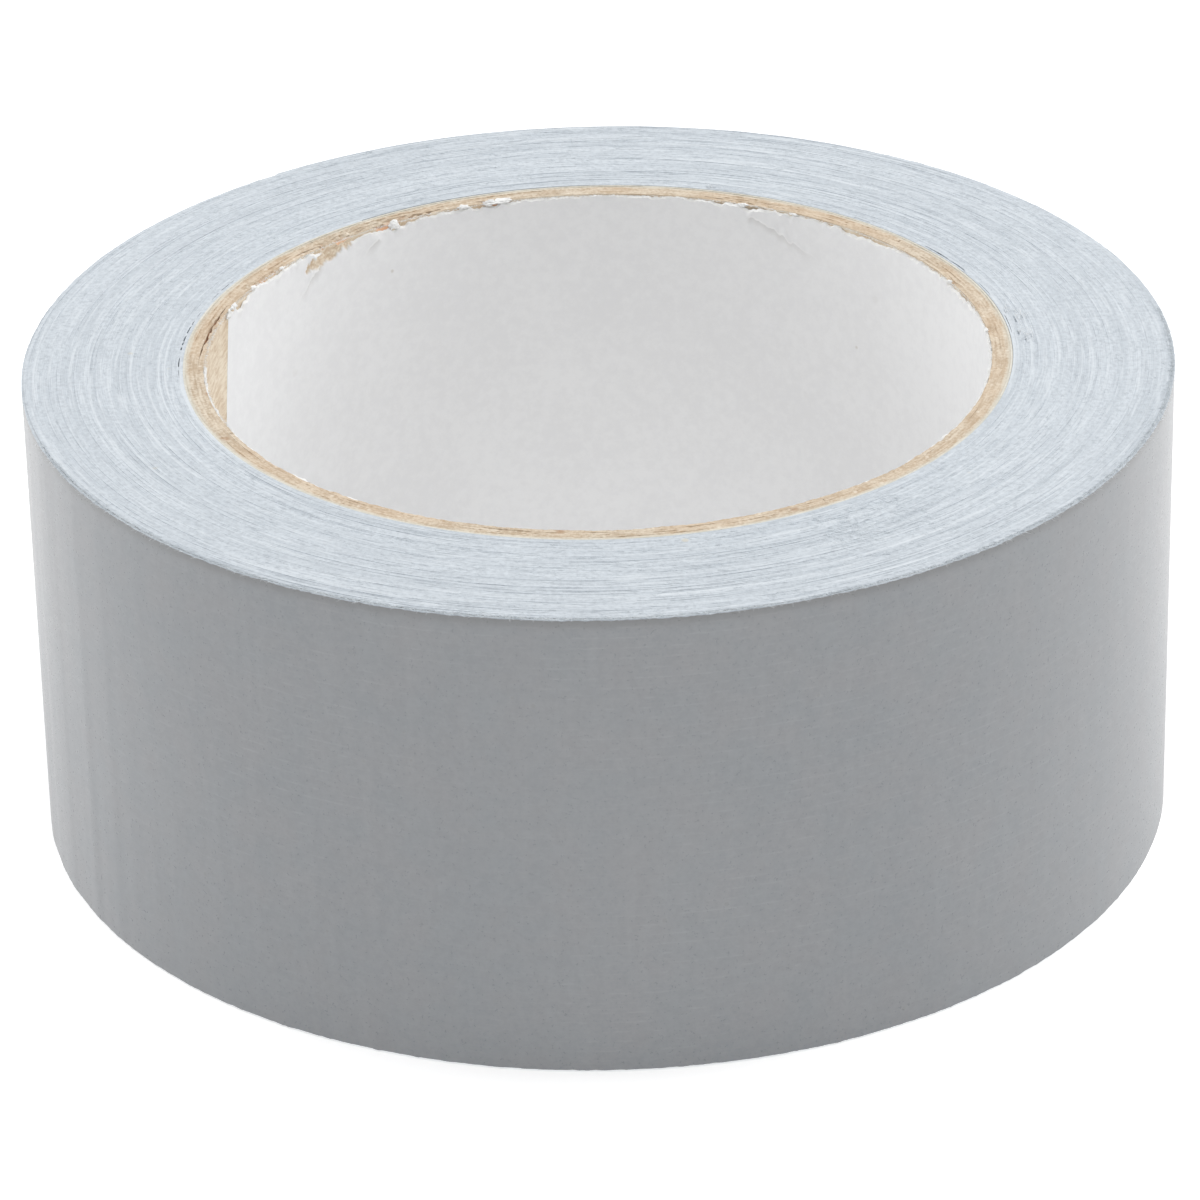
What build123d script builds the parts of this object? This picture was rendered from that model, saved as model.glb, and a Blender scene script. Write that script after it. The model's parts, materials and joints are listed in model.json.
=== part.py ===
from build123d import *
import os
from math import cos, degrees, radians, sin

# A roll of duct tape lying on one side face: a layered paper core, the wound tape,
# and the free end of the tape as a tail of hinged segments that peels off the back.
# Origin: the roll's axis at the lower side face. +Z runs up the axis, +Y is the back.
# All sizes are in millimetres and degrees.

# The tape is three bonded layers. The film faces out and the adhesive faces the core.
TAPE_WIDTH = 48.0
FILM = 0.07
SCRIM = 0.05
ADHESIVE = 0.07
TAPE = FILM + SCRIM + ADHESIVE
TURNS = 83

# The core is a tube of rolled paper plies. Each ply has an axial gap between its two edges.
BORE_RADIUS = 38.5
LINER = 0.25
KRAFT_PLY = 0.45
KRAFT_PLIES = 4
COVER_PLY = 0.20
LINER_GAP_START = 163.5
LINER_GAP_ANGLE = 18.0
PLY_GAP = 0.4
FIRST_PLY_SEAM = 205.0
SEAM_STAGGER = 97.0

# The tail is the last part of the outermost turn, split into hinged segments.
TAPE_END_ANGLE = 126.0
SEGMENTS = 6
SEGMENT_ANGLE = 12.0
HINGE_GAP = 0.05
TAIL_CLEARANCE = 0.03

CORE_RADIUS = BORE_RADIUS + LINER + KRAFT_PLIES * KRAFT_PLY + COVER_PLY

# One turn of the tape is two half circles about centres half a thickness apart, so it
# climbs by exactly one thickness. Angles on the spiral plane count from the tape's end.
LAST_TURN_RADIUS = CORE_RADIUS + (TURNS - 1) * TAPE
SECOND_CENTRE = (TAPE / 2, 0)
TAIL_START = 360 - SEGMENTS * SEGMENT_ANGLE
END_DIRECTION = (cos(radians(TAPE_END_ANGLE)), sin(radians(TAPE_END_ANGLE)), 0)
SPIRAL_PLANE = Plane(origin=(0, 0, 0), x_dir=END_DIRECTION, z_dir=(0, 0, 1))

# Each layer's distance out from the inner face of its turn: where it begins and ends.
LAYERS = {
    "adhesive": (0, ADHESIVE),
    "scrim": (ADHESIVE, ADHESIVE + SCRIM),
    "film": (ADHESIVE + SCRIM, TAPE),
}


def arc_band_lines(inner, outer, start, end, centre=(0, 0)):
    """Draw a band between two arcs about one centre, closed by radial ends."""
    outside = CenterArc(centre, outer, start, end - start)
    inside = CenterArc(centre, inner, start, end - start)
    Line(inside @ 0, outside @ 0)
    Line(inside @ 1, outside @ 1)


def last_turn_lines(inner, outer, end):
    """Draw a layer of the last turn, from the end of the turn below it round to `end`."""
    climb = TAPE / 2
    outside = CenterArc((0, 0), outer, 0, 180)
    outside_climb = CenterArc(SECOND_CENTRE, outer + climb, 180, end - 180)
    inside = CenterArc((0, 0), inner, 0, 180)
    inside_climb = CenterArc(SECOND_CENTRE, inner + climb, 180, end - 180)
    Line(inside @ 0, outside @ 0)
    Line(inside_climb @ 1, outside_climb @ 1)


def finish(piece, name):
    """Label a finished piece and write it to its own file."""
    piece.part.label = name
    export_step(piece.part, f"parts/{name}.step")


def make_core_ply(name, inner, thickness, gap_start, gap_angle):
    """A rolled paper ply as tall as the tape is wide, open along one axial gap."""
    with BuildPart() as ply:
        with BuildSketch(Plane.XY):
            with BuildLine():
                gap_end = gap_start + gap_angle
                arc_band_lines(inner, inner + thickness, gap_end, gap_start + 360)
            make_face()
        extrude(amount=TAPE_WIDTH)
    finish(ply, name)


def make_core():
    """The core from the white liner out: kraft plies, then the pale cover ply."""
    make_core_ply("core_liner", BORE_RADIUS, LINER, LINER_GAP_START, LINER_GAP_ANGLE)
    kraft_radii = [BORE_RADIUS + LINER + i * KRAFT_PLY for i in range(KRAFT_PLIES)]
    for i, inner in enumerate(kraft_radii):
        seam = (FIRST_PLY_SEAM + i * SEAM_STAGGER) % 360
        make_core_ply(f"core_ply_{i + 1}", inner, KRAFT_PLY, seam, degrees(PLY_GAP / inner))
    inner = CORE_RADIUS - COVER_PLY
    seam = (FIRST_PLY_SEAM + KRAFT_PLIES * SEAM_STAGGER) % 360
    make_core_ply("core_cover_ply", inner, COVER_PLY, seam, degrees(PLY_GAP / inner))


def make_winding():
    """Every turn but the last as one solid, with the step where the last turn begins."""
    with BuildPart() as winding:
        with BuildSketch(SPIRAL_PLANE):
            with BuildLine():
                first_half = CenterArc((0, 0), LAST_TURN_RADIUS, 0, 180)
                second_half = CenterArc(SECOND_CENTRE, LAST_TURN_RADIUS + TAPE / 2, 180, 180)
                Line(second_half @ 1, first_half @ 0)
            make_face()
            Circle(CORE_RADIUS, mode=Mode.SUBTRACT)
        extrude(amount=TAPE_WIDTH)
    finish(winding, "tape_winding")


def make_outer_wrap():
    """The fixed part of the last turn, one solid for each bonded layer."""
    for layer, (low, high) in LAYERS.items():
        with BuildPart() as wrap:
            with BuildSketch(SPIRAL_PLANE):
                with BuildLine():
                    inner = LAST_TURN_RADIUS + low
                    end = TAIL_START - degrees(HINGE_GAP / 2 / LAST_TURN_RADIUS)
                    last_turn_lines(inner, LAST_TURN_RADIUS + high, end)
                make_face()
            extrude(amount=TAPE_WIDTH)
        finish(wrap, f"outer_wrap_{layer}")


def make_tail():
    """The segments of the tail, in order from the hinge on the roll to the free end."""
    tail_radius = LAST_TURN_RADIUS + TAPE / 2
    half_gap = degrees(HINGE_GAP / 2 / tail_radius)
    for i in range(SEGMENTS):
        start = TAIL_START + i * SEGMENT_ANGLE + half_gap
        end = TAIL_START + (i + 1) * SEGMENT_ANGLE - half_gap
        for layer, (low, high) in LAYERS.items():
            with BuildPart() as strip:
                with BuildSketch(SPIRAL_PLANE):
                    with BuildLine():
                        inner = tail_radius + max(low, TAIL_CLEARANCE)
                        arc_band_lines(inner, tail_radius + high, start, end, SECOND_CENTRE)
                    make_face()
                extrude(amount=TAPE_WIDTH)
            finish(strip, f"tail_{i + 1}_{layer}")


os.makedirs("parts", exist_ok=True)
make_core()
make_winding()
make_outer_wrap()
make_tail()
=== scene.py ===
import json
import math

import bmesh
import bpy
import numpy as np
from mathutils import Matrix, Vector


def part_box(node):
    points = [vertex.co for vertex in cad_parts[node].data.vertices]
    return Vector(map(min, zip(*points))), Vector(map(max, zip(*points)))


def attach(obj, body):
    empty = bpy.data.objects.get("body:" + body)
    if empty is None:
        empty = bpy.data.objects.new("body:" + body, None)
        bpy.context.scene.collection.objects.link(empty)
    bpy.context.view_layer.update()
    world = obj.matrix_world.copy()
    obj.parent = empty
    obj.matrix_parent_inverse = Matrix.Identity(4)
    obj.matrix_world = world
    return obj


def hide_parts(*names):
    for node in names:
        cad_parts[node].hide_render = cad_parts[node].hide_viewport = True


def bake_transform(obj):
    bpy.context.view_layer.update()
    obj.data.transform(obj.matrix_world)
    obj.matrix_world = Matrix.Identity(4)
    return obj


# A roll of duct tape lying on one side face. Metres and radians. The roll's axis is +Z,
# the camera looks from -Y, and the free end of the tape lies at the back, at +Y.
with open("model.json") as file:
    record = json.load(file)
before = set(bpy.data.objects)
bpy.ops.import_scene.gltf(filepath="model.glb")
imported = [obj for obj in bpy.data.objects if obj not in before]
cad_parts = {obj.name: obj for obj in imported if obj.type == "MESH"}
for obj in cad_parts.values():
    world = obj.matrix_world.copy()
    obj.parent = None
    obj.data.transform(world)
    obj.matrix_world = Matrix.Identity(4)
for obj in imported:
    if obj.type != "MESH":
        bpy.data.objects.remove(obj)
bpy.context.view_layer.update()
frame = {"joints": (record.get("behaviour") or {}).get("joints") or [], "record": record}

MM = 0.001
TURN = 2 * math.pi
MOUNTS = {mount["name"]: mount for mount in frame["record"]["mounts"]}
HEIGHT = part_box("tape_winding")[1].z
BORE_RADIUS = MOUNTS["core_bore"]["dims"]["r_mm"] * MM

# The tape's three bonded layers and the plies of the core, as thick as the CAD parts.
FILM = 0.07 * MM
SCRIM = 0.05 * MM
ADHESIVE = 0.07 * MM
TAPE = FILM + SCRIM + ADHESIVE
TURNS = 83
LINER = 0.25 * MM
KRAFT_PLY = 0.45 * MM
KRAFT_PLIES = 4
COVER_PLY = 0.20 * MM
CORE_RADIUS = BORE_RADIUS + LINER + KRAFT_PLIES * KRAFT_PLY + COVER_PLY
OUTER_RADIUS = CORE_RADIUS + TURNS * TAPE
TAPE_END = math.radians(126)
TAIL_CLEARANCE = 0.03 * MM
SEGMENTS = len(frame["joints"])
SEGMENT_ANGLE = math.radians(12)
LAST_TURN = (TURNS - 1) * TURN
TAIL_START = TURNS * TURN - SEGMENTS * SEGMENT_ANGLE


# ---------------------------------------------------------------- random surfaces

def noise(u, v, seed, cells=(509, 61)):
    """Smooth values in -1..1 over a plane, from a lattice of random numbers that repeats."""
    lattice = np.random.default_rng(seed).uniform(-1, 1, cells)
    u, v = np.broadcast_arrays(np.asarray(u, float), np.asarray(v, float))
    i, j = np.floor(u).astype(int), np.floor(v).astype(int)
    s, t = u - i, v - j
    s, t = s * s * (3 - 2 * s), t * t * (3 - 2 * t)
    rows, columns = cells
    i0, i1, j0, j1 = i % rows, (i + 1) % rows, j % columns, (j + 1) % columns
    low = lattice[i0, j0] * (1 - s) + lattice[i1, j0] * s
    high = lattice[i0, j1] * (1 - s) + lattice[i1, j1] * s
    return low * (1 - t) + high * t


def ring_noise(azimuth, v, count, seed):
    """Noise that closes on itself round the roll: `count` cells a turn, azimuth in degrees."""
    return noise(azimuth / 360 * count, v, seed, (count, 61))


def smoothstep(value, low, high):
    """0 up to `low` and 1 from `high`, with a smooth rise between them."""
    part = np.clip((value - low) / (high - low), 0, 1)
    return part * part * (3 - 2 * part)


def degrees_from(azimuth, centre):
    """How far an azimuth lies from `centre`, both in degrees, wrapped to -180..180."""
    return (azimuth - centre + 180) % 360 - 180


def hump(azimuth, centre, half_width):
    """1 at the centre azimuth, falling smoothly to 0 at half_width degrees on both sides."""
    part = np.clip(1 - np.abs(degrees_from(azimuth, centre)) / half_width, 0, 1)
    return part * part * (3 - 2 * part)


# ---------------------------------------------------------------- strips and plies

def spiral_place(wound, depth, height):
    """Points of the wound tape. `wound` is the angle wound since the tape's start on the core,
    and `depth` the distance out from the inner face of its turn. Each turn is two half circles."""
    turn = np.floor(wound / TURN)
    angle = wound - turn * TURN
    climb = np.where(angle >= math.pi, TAPE / 2, 0.0)
    radius = CORE_RADIUS + turn * TAPE + climb + depth
    x = climb + radius * np.cos(angle)
    y = radius * np.sin(angle)
    c, s = math.cos(TAPE_END), math.sin(TAPE_END)
    return np.stack(np.broadcast_arrays(x * c - y * s, x * s + y * c, height), -1)


def spiral_azimuth(wound):
    """The azimuth in degrees of a point of the wound tape, counted from +X."""
    return np.degrees(wound + TAPE_END) % 360


def core_place(azimuth, depth, height):
    """Points of the core. `azimuth` is in degrees and `depth` counts out from the bore's wall."""
    angle = np.radians(azimuth)
    radius = BORE_RADIUS + depth
    return np.stack(np.broadcast_arrays(radius * np.cos(angle), radius * np.sin(angle), height), -1)


def outline(wall_levels, rim_levels=()):
    """A cross-section as (across, up) in 0..1: up the inner wall, over, down the outer wall."""
    inner = [(0, level) for level in wall_levels]
    top = [(level, 1) for level in rim_levels]
    outer = [(1, level) for level in reversed(wall_levels)]
    bottom = [(level, 0) for level in reversed(rim_levels)]
    return np.array(inner + top + outer + bottom, float)


def cap_faces(walls, points):
    """The faces that close a strip's end: quads between its two walls, and its rims.
    `walls` is how many points each wall has."""
    rims = (points - 2 * walls) // 2
    outer = walls + rims
    faces = [[k, k + 1, outer + walls - 2 - k, outer + walls - 1 - k] for k in range(walls - 1)]
    if rims:
        faces.append(list(range(walls - 1, outer + 1)))
        faces.append(list(range(outer + walls - 1, points)) + [0])
    return faces


def band(name, place, along, section, depth, height, run, size, materials, faces_of=None, origin=0.0):
    """A closed strip swept along a path, with a UV map in metres.

    depth and height give a point's place from (along, across, up), run is the length that one
    unit of `along` covers, counted from `origin`, and size is the section's thickness and height."""
    count, points = len(along), len(section)
    across, up = section[None, :, 0], section[None, :, 1]
    path = np.asarray(along, float)[:, None]
    vertices = place(path, depth(path, across, up), height(path, across, up)).reshape(-1, 3)
    i, j = np.meshgrid(np.arange(count - 1), np.arange(points), indexing="ij")
    i, j = i.ravel(), j.ravel()
    k = (j + 1) % points
    quads = np.stack([i * points + j, i * points + k, (i + 1) * points + k, (i + 1) * points + j], 1)
    caps = cap_faces(int(np.argmax(section[:, 0] > 0)), points)
    last = (count - 1) * points
    capped = [face[::-1] for face in caps] + [[last + p for p in face] for face in caps]
    mesh = bpy.data.meshes.new(name)
    mesh.from_pydata(vertices.tolist(), [], quads.tolist() + capped)
    step = np.abs(np.roll(section, -1, 0) - section) @ np.array(size)
    around = np.concatenate([[0], np.cumsum(step)])
    length = (np.asarray(along, float) - origin) * run
    u = np.stack([length[i], length[i], length[i + 1], length[i + 1]], 1)
    v = np.stack([around[j], around[j + 1], around[j + 1], around[j]], 1)
    corners = np.concatenate([np.array(face) for face in capped])
    flat = np.stack([section[corners % points, 0] * size[0] + length[corners // points],
                     section[corners % points, 1] * size[1]], -1)
    uv = mesh.uv_layers.new(name="Strip")
    uv.data.foreach_set("uv", np.concatenate([np.stack([u, v], 2).reshape(-1, 2), flat]).ravel())
    for material in materials:
        mesh.materials.append(material)
    if faces_of is not None:
        chosen = np.concatenate([np.array(faces_of)[j], [0] * len(capped)]).astype(np.int32)
        mesh.polygons.foreach_set("material_index", chosen)
    return finish_mesh(mesh)


def finish_mesh(mesh, sharp=50):
    """Smooth shading with edges sharper than `sharp` degrees kept, and an object in the scene."""
    mesh.shade_smooth()
    mesh.set_sharp_from_angle(angle=math.radians(sharp))
    mesh.update()
    piece = bpy.data.objects.new(mesh.name, mesh)
    bpy.context.scene.collection.objects.link(piece)
    return piece


# A fibre's rings from root to tip, its width at each, and its corners' angles in radians.
HAIR_RINGS = np.array([0.0, 0.5, 1.0])
HAIR_TAPER = np.array([0.8, 1.0, 0.4])
HAIR_CORNERS = 0.5, 2.6, 4.7
# How far the roots lie above or below their ring.
HAIR_SCATTER = 0.02 * MM


def hairs(name, roots, directions, bends, lengths, radii, material):
    """Fine fibres as one mesh: three-sided tubes that start at their roots and curve along `bends`."""
    count, rings = len(roots), len(HAIR_RINGS)
    t = HAIR_RINGS[None, :, None]
    lines = roots[:, None] + lengths[:, None, None] * (directions[:, None] * t + bends[:, None] * t * t)
    tangent = directions[:, None] + 2 * bends[:, None] * t
    side = np.cross(tangent, [0.0, 0.0, 1.0])
    side /= np.linalg.norm(side, axis=2, keepdims=True)
    over = np.cross(side, tangent)
    over /= np.linalg.norm(over, axis=2, keepdims=True)
    width = (radii[:, None] * HAIR_TAPER)[:, :, None]
    corners = [lines + width * (math.cos(a) * side + math.sin(a) * over) for a in HAIR_CORNERS]
    vertices = np.stack(corners, 2).reshape(-1, 3)
    first = (np.arange(count) * rings * 3)[:, None]
    faces = []
    for ring in range(rings - 1):
        for k in range(3):
            a, b = ring * 3 + k, ring * 3 + (k + 1) % 3
            faces += (first + [a, a + 3, b + 3, b]).tolist()
    last = 3 * (rings - 1)
    faces += (first + [0, 1, 2]).tolist() + (first + [last + 2, last + 1, last]).tolist()
    mesh = bpy.data.meshes.new(name)
    mesh.from_pydata(vertices.tolist(), [], faces)
    mesh.materials.append(material)
    return finish_mesh(mesh, 180)


def ring_hairs(name, seed, count, azimuths, radii, height, lengths, width, skew, lift, material):
    """Fibres lying on a flat ring. azimuths, radii and lengths are (low, high), skew is how far they
    turn from the ring's direction in degrees, and lift is how steeply their tips rise."""
    draw = np.random.default_rng(seed)
    azimuth = np.radians(draw.uniform(*azimuths, count))
    radius = draw.uniform(*radii, count)
    heading = azimuth + math.pi / 2 + np.radians(draw.normal(0, skew, count))
    heading = heading + math.pi * draw.integers(0, 2, count)
    level = height + draw.uniform(-1, 1, count) * HAIR_SCATTER
    roots = np.stack([radius * np.cos(azimuth), radius * np.sin(azimuth), level], 1)
    rise = draw.uniform(0, 1, count) * lift
    directions = np.stack([np.cos(heading), np.sin(heading), rise], 1)
    turn = draw.normal(0, 0.25, count)
    bends = np.stack([-np.sin(heading) * turn, np.cos(heading) * turn, -rise], 1)
    long = draw.uniform(*lengths, count)
    return hairs(name, roots, directions, bends, long, draw.uniform(0.6, 1, count) * width, material)


def tufts(name, seed, spots, width, material):
    """Clumps of torn fibres, matted at the middle. Each spot is (azimuth, radius, height, size, fibres),
    in degrees and metres."""
    draw = np.random.default_rng(seed)
    roots, directions, lengths = [], [], []
    for azimuth, radius, height, size, fibres in spots:
        angle = math.radians(azimuth)
        middle = np.array([radius * math.cos(angle), radius * math.sin(angle), height])
        along = np.array([-math.sin(angle), math.cos(angle), draw.normal(0, 0.3)])
        spread = draw.normal(0, 0.4, (fibres, 1)) * size * along
        roots.append(middle + spread + draw.normal(0, 0.09, (fibres, 3)) * size)
        heading = draw.normal(0, 0.55, (fibres, 3)) + along * draw.choice([-1, 1], (fibres, 1))
        directions.append(heading / np.linalg.norm(heading, axis=1, keepdims=True))
        lengths.append(draw.uniform(0.25, 0.75, fibres) * size)
    roots, directions, lengths = np.concatenate(roots), np.concatenate(directions), np.concatenate(lengths)
    bends = draw.normal(0, 0.3, roots.shape)
    widths = draw.uniform(0.6, 1, len(roots)) * width
    return hairs(name, roots, directions, bends, lengths, widths, material)


def flakes(name, seed, spots, material):
    """Scraps of torn paper, lumpy and ragged, stuck to the bore's rim. Each spot is (azimuth, height,
    half length, half height), in degrees and mm."""
    draw = np.random.default_rng(seed)
    bm = bmesh.new()
    for azimuth, height, long, tall in spots:
        made = bmesh.ops.create_icosphere(bm, subdivisions=4, radius=1.0)["verts"]
        points = np.array([vertex.co for vertex in made])
        x, y, z = points.T
        shift = draw.uniform(0, 40, 4)
        lumps = noise(1.5 * x + z + shift[0], 1.5 * y - z + shift[1], seed)
        ragged = noise(5 * x + 3 * z + shift[2], 5 * y - 3 * z + shift[3], seed + 1)
        points *= (1 + 0.45 * lumps + 0.3 * ragged)[:, None] * np.array([0.45 * long, long, tall]) * MM
        angle = math.radians(azimuth)
        c, s = math.cos(angle), math.sin(angle)
        radius = BORE_RADIUS + 0.12 * MM + points[:, 0]
        places = np.stack([radius * c - points[:, 1] * s, radius * s + points[:, 1] * c,
                           height * MM + points[:, 2]], 1)
        for vertex, place in zip(made, places):
            vertex.co = place
    mesh = bpy.data.meshes.new(name)
    bm.to_mesh(mesh)
    bm.free()
    mesh.materials.append(material)
    return finish_mesh(mesh, 180)


# ---------------------------------------------------------------- material nodes

class Paint:
    """Builds the nodes of one material."""

    def __init__(self, name, **settings):
        self.material = bpy.data.materials.new(name)
        self.material.use_nodes = True
        self.tree = self.material.node_tree
        self.surface = self.tree.nodes["Principled BSDF"]
        for socket, value in settings.items():
            self.surface.inputs[socket.replace("_", " ")].default_value = value

    def feed(self, socket, value):
        if isinstance(value, bpy.types.NodeSocket):
            self.tree.links.new(value, socket)
        else:
            socket.default_value = value

    def node(self, kind, inputs, output=0, **settings):
        made = self.tree.nodes.new("ShaderNode" + kind)
        for key, value in settings.items():
            setattr(made, key, value)
        for key, value in inputs.items():
            self.feed(made.inputs[key], value)
        return made.outputs[output]

    def place(self):
        return self.node("TexCoord", {}, "Object")

    def strip(self):
        """The strip's own coordinates: metres along it and metres round its section."""
        return self.node("UVMap", {}, uv_map="Strip")

    def split(self, vector):
        made = self.tree.nodes.new("ShaderNodeSeparateXYZ")
        self.feed(made.inputs[0], vector)
        return made.outputs

    def join(self, x, y, z):
        return self.node("CombineXYZ", {"X": x, "Y": y, "Z": z})

    def math(self, operation, a, b=0.0):
        return self.node("Math", {0: a, 1: b}, operation=operation)

    def dot(self, a, b):
        return self.node("VectorMath", {0: a, 1: b}, "Value", operation="DOT_PRODUCT")

    def scale(self, vector, factors):
        return self.node("VectorMath", {0: vector, 1: factors}, operation="MULTIPLY")

    def offset(self, vector, step):
        return self.node("VectorMath", {0: vector, 1: step}, operation="ADD")

    def noise(self, vector, scale, detail=2.0, roughness=0.5):
        inputs = {"Vector": vector, "Scale": scale, "Detail": detail, "Roughness": roughness}
        return self.node("TexNoise", inputs)

    def cells(self, vector, scale, output, dimensions):
        inputs = {"Vector": vector, "Scale": scale}
        return self.node("TexVoronoi", inputs, output, voronoi_dimensions=dimensions)

    def specks(self, vector, scale, radius, share, dimensions="3D"):
        """Scattered round spots, `radius` of a cell wide. A `share` of the cells holds one."""
        distance = self.cells(vector, scale, "Distance", dimensions)
        chance = self.split(self.cells(vector, scale, "Color", dimensions))[0]
        spot = self.between(distance, radius * 0.4, radius, 1.0, 0.0)
        return self.math("MULTIPLY", spot, self.math("LESS_THAN", chance, share))

    def between(self, value, low, high, start=0.0, end=1.0):
        """Maps value from low..high to start..end with smooth ends."""
        inputs = {"Value": value, "From Min": low, "From Max": high, "To Min": start, "To Max": end}
        return self.node("MapRange", inputs, interpolation_type="SMOOTHSTEP")

    def mix(self, factor, a, b, blend="MIX"):
        return self.node("Mix", {0: factor, 6: a, 7: b}, 2, data_type="RGBA", blend_type=blend)

    def bump(self, height, distance, below=None):
        inputs = {"Height": height, "Distance": distance, "Strength": 1.0}
        if below is not None:
            inputs["Normal"] = below
        return self.node("Bump", inputs)

    def finish(self, **sockets):
        for socket, value in sockets.items():
            self.feed(self.surface.inputs[socket.replace("_", " ")], value)
        return self.material


def rgb(red, green, blue):
    return (red, green, blue, 1.0)


def from_axis(paint):
    """The vector from the roll's axis, without its height."""
    across = paint.split(paint.place())
    return paint.join(across[0], across[1], 0.0)


def ring_coordinates(paint, along, across):
    """Coordinates that follow the roll's circles: `along` cells a radian and `across` cells a metre."""
    flat = from_axis(paint)
    radius = paint.node("VectorMath", {0: flat}, "Value", operation="LENGTH")
    around = paint.split(paint.node("VectorMath", {0: flat}, operation="NORMALIZE"))
    return paint.join(paint.math("MULTIPLY", radius, across),
                      paint.math("MULTIPLY", around[0], along), paint.math("MULTIPLY", around[1], along))


# Keeps the dashes of neighbouring yarns apart.
ROW_SHIFT = 7.31


def weave_lines(paint, strip, pitch, share, dash):
    """Thin broken lines along the strip, `pitch` metres apart. `dash` cells a metre break them."""
    u, v = paint.split(strip)[:2]
    cell = paint.math("DIVIDE", v, pitch)
    row = paint.math("FLOOR", cell)
    offset = paint.math("ABSOLUTE", paint.math("SUBTRACT", paint.math("FRACT", cell), 0.5))
    line = paint.between(offset, 0.0, share / 2, 1.0, 0.0)
    dashes = paint.join(paint.math("MULTIPLY", u, dash), paint.math("MULTIPLY", row, ROW_SHIFT), 0.0)
    breaks = paint.noise(dashes, 1.0)
    return paint.math("MULTIPLY", line, paint.between(breaks, 0.42, 0.62))


FILM_TONES = [rgb(0.205, 0.220, 0.236), rgb(0.218, 0.231, 0.245), rgb(0.234, 0.232, 0.241),
              rgb(0.170, 0.180, 0.190)]
EDGE_TONES = [rgb(0.54, 0.585, 0.628), rgb(0.59, 0.635, 0.678), rgb(0.455, 0.492, 0.530),
              rgb(0.70, 0.74, 0.775)]
YARN_PITCH = 1.05 * MM
YARN_TONE = rgb(0.5, 0.51, 0.52)
# Air trapped under the film: cells a metre, radius in cells, and the share of cells that hold a dot.
AIR_DOTS = [(170.0, 0.055, 0.05), (210.0, 0.05, 0.06), (260.0, 0.045, 0.05)]


def film_material():
    """Grey polyethylene film, satin, with the cloth's yarns and trapped air showing through."""
    paint = Paint("tape_film_satin", IOR=1.62)
    strip, place = paint.strip(), paint.place()
    cloud = paint.noise(place, 60.0, 3.0)
    warm = paint.noise(place, 210.0, 4.0, 0.6)
    grain = paint.noise(place, 2600.0, 3.0, 0.6)
    color = paint.mix(paint.between(cloud, 0.3, 0.7), FILM_TONES[0], FILM_TONES[1])
    color = paint.mix(paint.between(warm, 0.3, 0.7, 0.1, 0.65), color, FILM_TONES[2])
    color = paint.mix(paint.between(grain, 0.25, 0.75, 0.44, 0.08), color, FILM_TONES[3])
    mottle = paint.noise(place, 1200.0, 2.0, 0.8)
    color = paint.mix(paint.between(mottle, 0.35, 0.65, 0.0, 0.16), color, rgb(0.30, 0.31, 0.32))
    regions = paint.between(paint.noise(place, 30.0, 1.0), 0.38, 0.62)
    lines = weave_lines(paint, strip, YARN_PITCH, 0.26, 480.0)
    between_lines = weave_lines(paint, paint.offset(strip, (0.4, 0.4 * MM, 0.0)), YARN_PITCH, 0.2, 700.0)
    visible = paint.between(regions, 0.0, 1.0, 0.03, 0.09)
    color = paint.mix(paint.math("MULTIPLY", lines, visible), color, YARN_TONE)
    color = paint.mix(paint.math("MULTIPLY", between_lines, 0.035), color, YARN_TONE)
    crossing = paint.noise(paint.scale(strip, (700.0, 45.0, 1.0)), 1.0, 1.0)
    color = paint.mix(paint.between(crossing, 0.5, 0.8, 0.0, 0.05), color, rgb(0.4, 0.41, 0.42))
    color = trapped_air(paint, color, strip, regions)
    # Painted shade: the film's colour darkens towards the rim, darkest right under it and gone 1.3 mm
    # below.
    below_rim = paint.math("SUBTRACT", paint.split(strip)[1], HEIGHT + FILM)
    painted_rim_shade = paint.between(below_rim, 0.0, 1.3 * MM, 0.55, 0.0)
    color = paint.mix(painted_rim_shade, color, rgb(0.13, 0.13, 0.128))
    relief = paint.math("ADD", paint.math("MULTIPLY", lines, 0.3), paint.math("MULTIPLY", grain, 0.35))
    rough = paint.between(grain, 0.3, 0.7, 0.27, 0.37)
    return paint.finish(Base_Color=color, Roughness=rough, Normal=paint.bump(relief, 0.01 * MM))


def trapped_air(paint, color, strip, regions):
    """Dark soft dots with a faint pale rim, of three sizes, where air is trapped under the film."""
    for scale, radius, share in AIR_DOTS:
        crowd = paint.math("MULTIPLY", paint.math("SUBTRACT", 1.3, regions), share)
        rim = paint.specks(strip, scale, radius * 1.6, crowd, "2D")
        core = paint.specks(strip, scale, radius, crowd, "2D")
        color = paint.mix(paint.math("MULTIPLY", rim, 0.08), color, rgb(0.45, 0.45, 0.45))
        color = paint.mix(paint.math("MULTIPLY", core, 0.24), color, rgb(0.12, 0.12, 0.11))
    return color


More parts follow.
